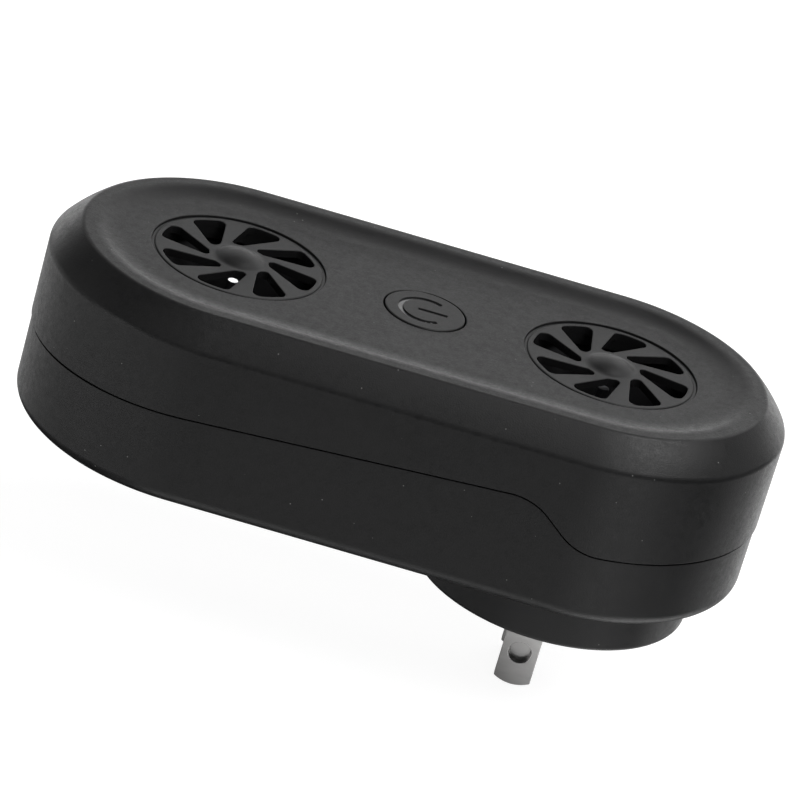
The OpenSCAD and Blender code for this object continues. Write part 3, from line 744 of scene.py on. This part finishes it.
def plain(name, base, rough, metallic=0.0, spread=0.1, scale=900.0, bump_mm=0.02, specular=0.5, stretch=None, shaded_side=None, shade_ramp=None):
    """a finish with fine grain, for the small parts; shaded_side paints shade on the faces that look in its direction,
    shade_ramp paints shade that darkens one end
    """
    mat = bpy.data.materials.new(name)
    nt, bsdf = nodes_of(mat)
    co = object_coords(nt)
    if stretch is not None:
        mp = nt.nodes.new("ShaderNodeMapping")
        mp.inputs["Scale"].default_value = stretch
        nt.links.new(co, mp.inputs["Vector"])
        co = mp.outputs["Vector"]
    a = noise(nt, scale, 4.0, 0.6, co)
    c = noise(nt, scale * 0.13, 2.0, 0.5, co)
    mix = mathn(nt, "ADD", mathn(nt, "MULTIPLY", a, 0.6), mathn(nt, "MULTIPLY", c, 0.4))
    lo = tuple(x * (1 - spread) for x in base)
    hi = tuple(min(1, x * (1 + spread)) for x in base)
    col = ramp(nt, mix, [(0.3, lo), (0.7, hi)])
    # painted shade: the colour is mixed towards black along one direction, so the blade gets darker towards its tip
    if shade_ramp is not None:
        slope, start, full = shade_ramp
        dot = nt.nodes.new("ShaderNodeVectorMath")
        dot.operation = "DOT_PRODUCT"
        nt.links.new(object_coords(nt), dot.inputs[0])
        dot.inputs[1].default_value = slope
        m = nt.nodes.new("ShaderNodeMix")
        m.data_type = "RGBA"
        nt.links.new(remap(nt, dot.outputs["Value"], 0.0, 1.0, -start, full - start), m.inputs["Factor"])
        m.inputs[6].default_value = (0.0, 0.0, 0.0, 1)
        nt.links.new(col, m.inputs[7])
        col = m.outputs[2]
    # painted shade: faces that look in the shaded_side direction are mixed towards near black
    if shaded_side is not None:
        dot = nt.nodes.new("ShaderNodeVectorMath")
        dot.operation = "DOT_PRODUCT"
        nt.links.new(nt.nodes.new("ShaderNodeNewGeometry").outputs["Normal"], dot.inputs[0])
        dot.inputs[1].default_value = shaded_side
        m = nt.nodes.new("ShaderNodeMix")
        m.data_type = "RGBA"
        nt.links.new(remap(nt, dot.outputs["Value"], 0.0, 0.85, 0.1, 0.3), m.inputs["Factor"])
        nt.links.new(col, m.inputs[6])
        m.inputs[7].default_value = (0.05, 0.05, 0.05, 1)
        col = m.outputs[2]
    nt.links.new(col, bsdf.inputs["Base Color"])
    nt.links.new(remap(nt, mix, max(0.05, rough - 0.06), min(1, rough + 0.06), 0.3, 0.7), bsdf.inputs["Roughness"])
    bsdf.inputs["Metallic"].default_value = metallic
    bsdf.inputs["Specular IOR Level"].default_value = specular
    nt.links.new(bump(nt, a, 0.4, bump_mm * MM), bsdf.inputs["Normal"])
    return mat


SHELL = moulded("black_abs", (0.008, 0.008, 0.0082), 0.42, specular=0.2, dust=0.07, uneven=0.12)
GRILLE = moulded("black_abs_grille", (0.008, 0.008, 0.0082), 0.42, specular=0.2, walls=0.2)
BUTTON = moulded("black_abs_button", (0.008, 0.008, 0.0082), 0.42, specular=0.2)
# painted shade: a near-black, non-reflecting copy of the shell plastic for the faces inside the seam gap, where shade
# falls
SEAM_SHADE = plain("seam_shade_abs", (0.002, 0.002, 0.002), 0.9, spread=0.3, scale=1500, specular=0.0)
MARK = plain("polished_abs", (0.03, 0.03, 0.0305), 0.24, spread=0.15, scale=1500, bump_mm=0.004, specular=0.6)
# the blade carries painted shade: near black on its downward faces, and darker towards its tip
BLADE = plain("nickel_plate", (0.41, 0.405, 0.4), 0.34, 1.0, 0.07, 1500, 0.006, stretch=(0.25, 1, 1), shaded_side=(0, 0, -1), shade_ramp=((85, 0, 85), 2.22, 1.6))

FINISHES = {
    "foam": plain("black_foam", (0.03, 0.03, 0.032), 0.9, spread=0.3, scale=1600, bump_mm=0.12),
    "speaker_plastic": plain("speaker_plastic", (0.006, 0.006, 0.0062), 0.75, scale=2200, specular=0.04),
    "cone": plain("cone_film", (0.006, 0.006, 0.0064), 0.75, scale=700, bump_mm=0.03, specular=0.04),
    "bright_metal": plain("bright_metal", (0.86, 0.86, 0.87), 0.14, 1.0, 0.05, 1800, 0.002),
    "brass": plain("brass_disc", (0.78, 0.58, 0.26), 0.3, 1.0, 0.12, 900, 0.006),
    "tinned_brass": plain("tinned_brass", (0.72, 0.69, 0.6), 0.32, 1.0, 0.1, 1200, 0.006),
    "black_plastic": plain("black_compound", (0.02, 0.02, 0.02), 0.55, scale=1800),
    "white_plastic": plain("offwhite_nylon", (0.8, 0.79, 0.74), 0.4, spread=0.04, scale=700),
    "led": plain("lamp_lens", (0.66, 0.78, 0.66), 0.25, spread=0.05, scale=500),
    "board": plain("solder_mask", (0.02, 0.11, 0.04), 0.3, spread=0.25, scale=320, bump_mm=0.03),
    "ferrite": plain("ferrite", (0.05, 0.05, 0.055), 0.6, spread=0.2, scale=1400, bump_mm=0.04),
    "tape": plain("winding_tape", (0.75, 0.52, 0.08), 0.28, spread=0.1, scale=420, stretch=(1, 1, 7)),
    "capacitor_box": plain("capacitor_box", (0.7, 0.47, 0.06), 0.35, spread=0.06, scale=800),
    "capacitor_sleeve": plain("shrink_sleeve", (0.02, 0.03, 0.11), 0.25, spread=0.15, scale=300),
    "resistor": plain("resistor_lacquer", (0.15, 0.32, 0.17), 0.4, spread=0.15, scale=900),
    "lead_red": plain("lead_red", (0.5, 0.03, 0.03), 0.4, spread=0.1, scale=700),
    "lead_black": plain("lead_black", (0.025, 0.025, 0.025), 0.42, spread=0.15, scale=700),
    "carrier": plain("carrier_nylon", (0.72, 0.69, 0.62), 0.5, spread=0.05, scale=900),
    "screw": plain("zinc_plate", (0.6, 0.6, 0.62), 0.3, 1.0, 0.12, 1500, 0.008),
}
FINISHES["shell"], FINISHES["grille"], FINISHES["button"], FINISHES["blade"] = SHELL, GRILLE, BUTTON, BLADE


def dress(ob, mat):
    ob.data.materials.clear()
    ob.data.materials.append(mat)
    if ob.name in ("front_shell_skin", "back_shell_skin"):
        # the shells' seam-gap faces take the painted-shade material in their second slot
        ob.data.materials.append(SEAM_SHADE)


# carried-over CAD nodes take a finish from their material slot
for part in frame["record"]["subparts"]:
    node = frame["nodes"][part["node"]]
    node.data = node.data.copy()
    dress(node, FINISHES[part["material_slot"]])
# painted shade: the right plug gets a darker copy of the plug metal, so it shows no glint where the left plug does
dress(frame["nodes"]["right_phase_plug"], plain("shaded_plug_metal", (0.16, 0.16, 0.165), 0.5, 1.0, 0.2, 1500, 0.004))

# ---------------------------------------------------------------- the pieces
made = []
for ob, mat, slot, body, nodes in (
    (front_shell(), SHELL, "shell", "case", ["front_shell"]),
    (back_shell(), SHELL, "shell", "case", ["back_shell"]),
    (grille(LEFT_X, "left_grille_disc"), GRILLE, "grille", "case", ["left_grille"]),
    (grille(0.0, "right_grille_disc"), GRILLE, "grille", "case", ["right_grille"]),
    (button(), BUTTON, "button", "button", ["power_button"]),
    (mark_floor("arc", 0.43, "power_mark_arc"), MARK, "button", "button", []),
    (mark_floor("bar", 0.38, "power_mark_bar"), MARK, "button", "button", []),
    (blade(-BLADE_Y, "near_blade", 1), BLADE, "blade", "case", ["near_plug_blade"]),
    (blade(BLADE_Y, "far_blade", -1), BLADE, "blade", "case", ["far_plug_blade"]),
):
    dress(ob, mat)
    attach(ob, body)
    if nodes:
        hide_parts(*nodes)
    made.append(ob)

# ---------------------------------------------------------------- stage, light and camera
scene = bpy.context.scene
scene.view_settings.view_transform = "Standard"
scene.view_settings.look = "None"
scene.view_settings.exposure = 0.0
scene.view_settings.gamma = 1.0

FLOOR_LEVEL = -0.0185
floor_mesh = bpy.data.meshes.new("floor")
floor_mesh.from_pydata([(-6, -6, FLOOR_LEVEL), (6, -6, FLOOR_LEVEL), (6, 6, FLOOR_LEVEL), (-6, 6, FLOOR_LEVEL)], [], [(0, 1, 2, 3)])
floor_obj = bpy.data.objects.new("floor", floor_mesh)
floor_obj.visible_glossy = floor_obj.visible_diffuse = floor_obj.visible_shadow = False
scene.collection.objects.link(floor_obj)
floor_mat = bpy.data.materials.new("pale_floor")
fnt, fb = nodes_of(floor_mat)
fb.inputs["Base Color"].default_value = (0.3, 0.3, 0.3, 1)
fb.inputs["Emission Color"].default_value = (1, 1, 1, 1)
fb.inputs["Emission Strength"].default_value = 0.9
fb.inputs["Roughness"].default_value = 0.9
fb.inputs["Specular IOR Level"].default_value = 0.0
floor_mesh.materials.append(floor_mat)

world = bpy.data.worlds.new("studio")
scene.world = world
world.use_nodes = True
world.node_tree.nodes["Background"].inputs[0].default_value = (1, 1, 1, 1)
world.node_tree.nodes["Background"].inputs[1].default_value = 0.0

AIM = Vector((-0.032, 0.0, 0.0242))


def softbox(name, azimuth, elevation, distance, size_x, size_y, power):
    """a soft light on a dome round the object; azimuth 0 is on the camera's side"""
    a, e = math.radians(azimuth), math.radians(elevation)
    back = Vector((math.sin(a) * math.cos(e), -math.cos(a) * math.cos(e), math.sin(e)))
    light = bpy.data.lights.new(name, "AREA")
    light.shape = "RECTANGLE"
    light.size, light.size_y = size_x, size_y
    light.energy = power
    ob = bpy.data.objects.new(name, light)
    ob.location = AIM + back * distance
    ob.rotation_mode = "QUATERNION"
    ob.rotation_quaternion = (-back).to_track_quat("-Z", "Y")
    scene.collection.objects.link(ob)
    return ob


for az, el, sx, sy, power in (
    (68, 54, 0.30, 0.30, 0.60),
    (60, 68, 0.45, 0.40, 3.20),
    (120, 68, 0.45, 0.40, 2.73),
    (40, 50, 0.50, 0.36, 2.70),
    (80, 50, 0.50, 0.36, 1.88),
    (320, 50, 0.50, 0.36, 0.39),
    (150, 32, 0.50, 0.36, 1.35),
    (180, 32, 0.50, 0.36, 1.04),
    (210, 32, 0.50, 0.36, 0.64),
    (30, 32, 0.50, 0.36, 0.82),
    (0, 32, 0.50, 0.36, 0.31),
    (330, 32, 0.50, 0.36, 0.15),
    (90, 32, 0.50, 0.36, 0.21),
    (270, 32, 0.50, 0.36, 0.21),
    (120, 16, 0.50, 0.30, 0.44),
    (0, 16, 0.50, 0.30, 0.15),
    (90, 16, 0.50, 0.30, 0.36),
    (270, 16, 0.50, 0.30, 0.36),
    (30, 0, 0.50, 0.30, 0.08),
    (150, 0, 0.50, 0.30, 1.04),
    (180, 0, 0.50, 0.30, 1.63),
    (210, 0, 0.50, 0.30, 1.08),
    (240, 0, 0.50, 0.30, 0.43),
    (300, 0, 0.50, 0.30, 1.43),
    (30, -20, 0.50, 0.36, 1.81),
    (120, -20, 0.50, 0.36, 0.37),
    (150, -20, 0.50, 0.36, 1.11),
    (210, -20, 0.50, 0.36, 0.50),
    (240, -20, 0.50, 0.36, 0.56),
    (270, -20, 0.50, 0.36, 0.80),
    (300, -20, 0.50, 0.36, 1.09),
    (330, -20, 0.50, 0.36, 1.23),
    (0, -40, 0.50, 0.36, 0.81),
    (60, -40, 0.50, 0.36, 1.05),
    (120, -40, 0.50, 0.36, 1.10),
    (0, -62, 0.60, 0.50, 2.00),
    (90, -62, 0.60, 0.50, 3.41),
):
    softbox("softbox_%d_%d" % (az, el), az, el, 1.0, sx, sy, power)

camera = bpy.data.cameras.new("camera")
camera.sensor_width = 36.0
camera.lens = 214.2
camera.clip_start, camera.clip_end = 0.05, 20
camera.shift_x, camera.shift_y = -0.0006, 0.0003
camera_obj = bpy.data.objects.new("camera", camera)
target = Vector((-0.0320, 0.0, 0.02418))
elev, roll, dist = math.radians(25.65), math.radians(16.14), 0.8
look = Vector((0, math.cos(elev), -math.sin(elev)))
up0 = Vector((0, math.sin(elev), math.cos(elev)))
right0 = Vector((1, 0, 0))
right = right0 * math.cos(roll) + up0 * math.sin(roll)
up = up0 * math.cos(roll) - right0 * math.sin(roll)
m = Matrix((right, up, -look)).transposed().to_4x4()
m.translation = target - look * dist
camera_obj.matrix_world = m
scene.collection.objects.link(camera_obj)
scene.camera = camera_obj
